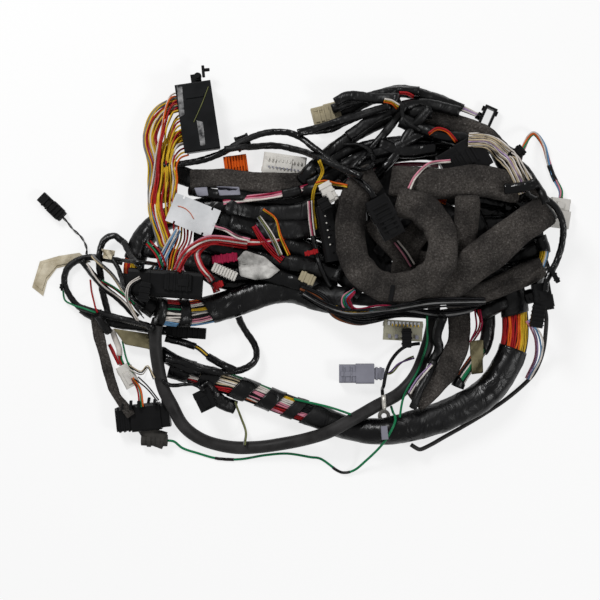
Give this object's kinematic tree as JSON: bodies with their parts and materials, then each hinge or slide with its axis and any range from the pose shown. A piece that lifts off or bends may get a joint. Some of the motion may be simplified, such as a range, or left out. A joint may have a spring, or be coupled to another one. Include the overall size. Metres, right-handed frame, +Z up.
{
  "type": "wiring harness",
  "caption": "Vehicle dashboard wiring harness lying in a loose heap: taped and felt-sleeved bundles, bare wires, plugs, clips and a junction block.",
  "frame": {"origin": "middle of the heap on the surface it lies on, free leads not counted", "axes": "+X along the heap to the side with the felt sleeves, +Y across it to the side with the junction block, +Z up"},
  "size_m": [0.6826, 0.5062, 0.0982],
  "materials": {
    "tape": "glossy black wound tape",
    "conduit": "smooth dark tube",
    "felt": "speckled grey felt",
    "black_plastic": "moulded, satin",
    "dark_cover": "moulded, satin",
    "white_plastic": "moulded, satin",
    "beige_plastic": "moulded, satin",
    "grey_plastic": "moulded, satin",
    "orange_plastic": "moulded, satin",
    "rubber_boot": "matte rubber",
    "tin": "tinned sheet",
    "masking_tape": "crumpled paper tape",
    "yellow_wire": "wire insulation",
    "white_wire": "wire insulation",
    "green_wire": "wire insulation"
  },
  "bodies": {
    "root": {"lower_left_tape_flag": "masking_tape", "grey_plug": "grey_plastic", "ring_terminal": "tin", "sensor_plug": "black_plastic", "left_white_plug": "white_plastic", "corner_block": "black_plastic", "corner_boot": "rubber_boot", "junction_block": "dark_cover", "right_white_plug": "white_plastic", "right_white_socket": "white_plastic", "lower_trunk": "tape", "side_trunk": "tape", "floor_plug": "black_plastic", "left_floor_bundle": "tape", "shoulder_trunk": "tape", "middle_trunk": "tape", "centre_trunk": "tape", "loop_conduit": "conduit", "top_plug": "beige_plastic", "clip_frame": "black_plastic", "top_trunk": "tape", "left_outer_loop": "tape", "left_inner_loop": "tape", "left_down_band": "felt", "left_white_lead": "white_wire", "sensor_lead": "conduit", "green_lead": "green_wire", "grey_plug_lead": "conduit", "ring_lead": "tape", "lower_branch_loop": "tape", "round_plug": "black_plastic", "fan_wires_inner": "yellow_wire", "fan_wires_outer": "yellow_wire", "wire_shroud": "black_plastic", "red_wires": "yellow_wire", "orange_plug": "orange_plastic", "ribbed_cap": "black_plastic", "white_wide_plug": "white_plastic", "felt_strap": "felt", "pink_wires": "white_wire", "label_plate": "white_plastic", "long_plug": "black_plastic", "felt_back": "felt", "upper_block": "black_plastic", "beige_wires": "white_wire", "top_cable": "tape", "felt_middle": "felt", "felt_side": "felt", "felt_tail": "felt", "lower_rope": "tape", "felt_lower": "felt", "felt_main": "felt", "felt_coil": "felt", "clear_plug": "white_plastic", "centre_plug": "black_plastic", "arch_cable": "tape", "edge_clip": "black_plastic", "edge_bundle": "tape", "right_plug_lead": "white_wire", "right_lead": "conduit"}
  },
  "joints": []
}
